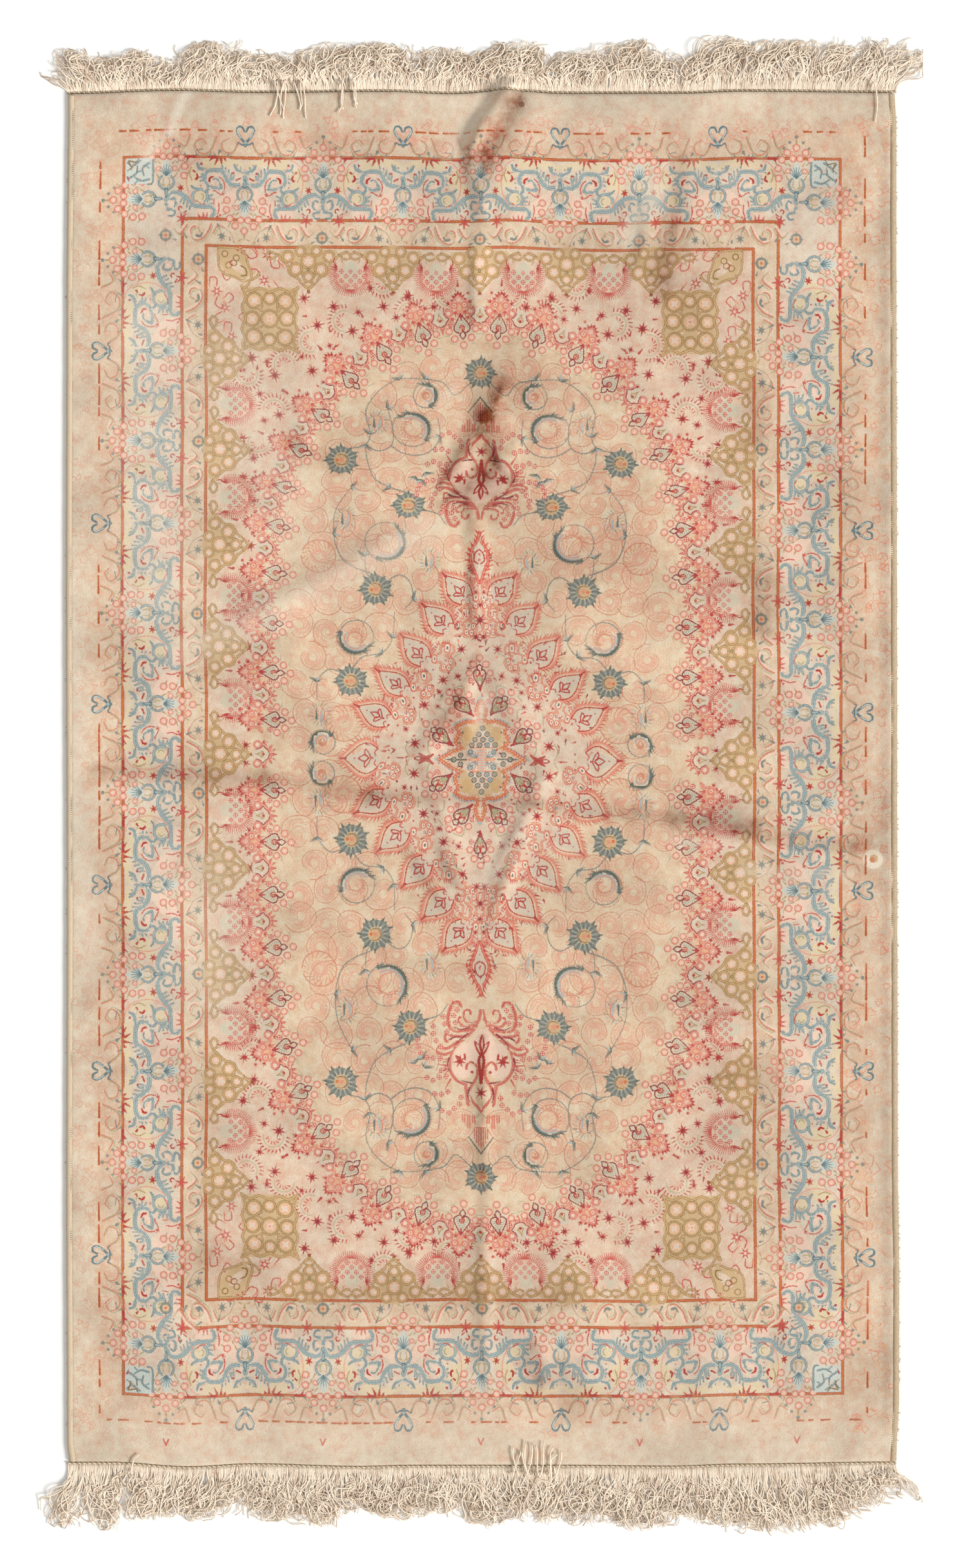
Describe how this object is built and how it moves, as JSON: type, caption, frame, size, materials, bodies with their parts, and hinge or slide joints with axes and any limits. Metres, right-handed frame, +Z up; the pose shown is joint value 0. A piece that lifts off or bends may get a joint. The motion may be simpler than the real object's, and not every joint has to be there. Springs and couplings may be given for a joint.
{
  "type": "persian rug",
  "caption": "Hand-knotted Persian rug with a medallion field, main border and tangled warp fringes, lying flat with a few raised folds.",
  "frame": {"origin": "middle of the rug's bounding box, on the floor it lies on", "axes": "+Y along the rug's length towards the end with the tall ridge, +X across it, +Z up, out of the pile"},
  "size_m": [1.481, 2.5578, 0.0265],
  "materials": {
    "wool_pile": "sheared knotted pile in faded cream, pink, blue and olive",
    "side_cord": "overcast yarn, slate and cream",
    "twining": "twined brown and cream wefts",
    "warp_cotton": "twisted undyed cotton, loose and tangled"
  },
  "bodies": {
    "root": {"rug_pile": "wool_pile", "side_cord_left": "side_cord", "side_cord_right": "side_cord", "twining_top": "twining", "twining_bottom": "twining", "fringe_top": "warp_cotton", "fringe_bottom": "warp_cotton"}
  },
  "joints": []
}
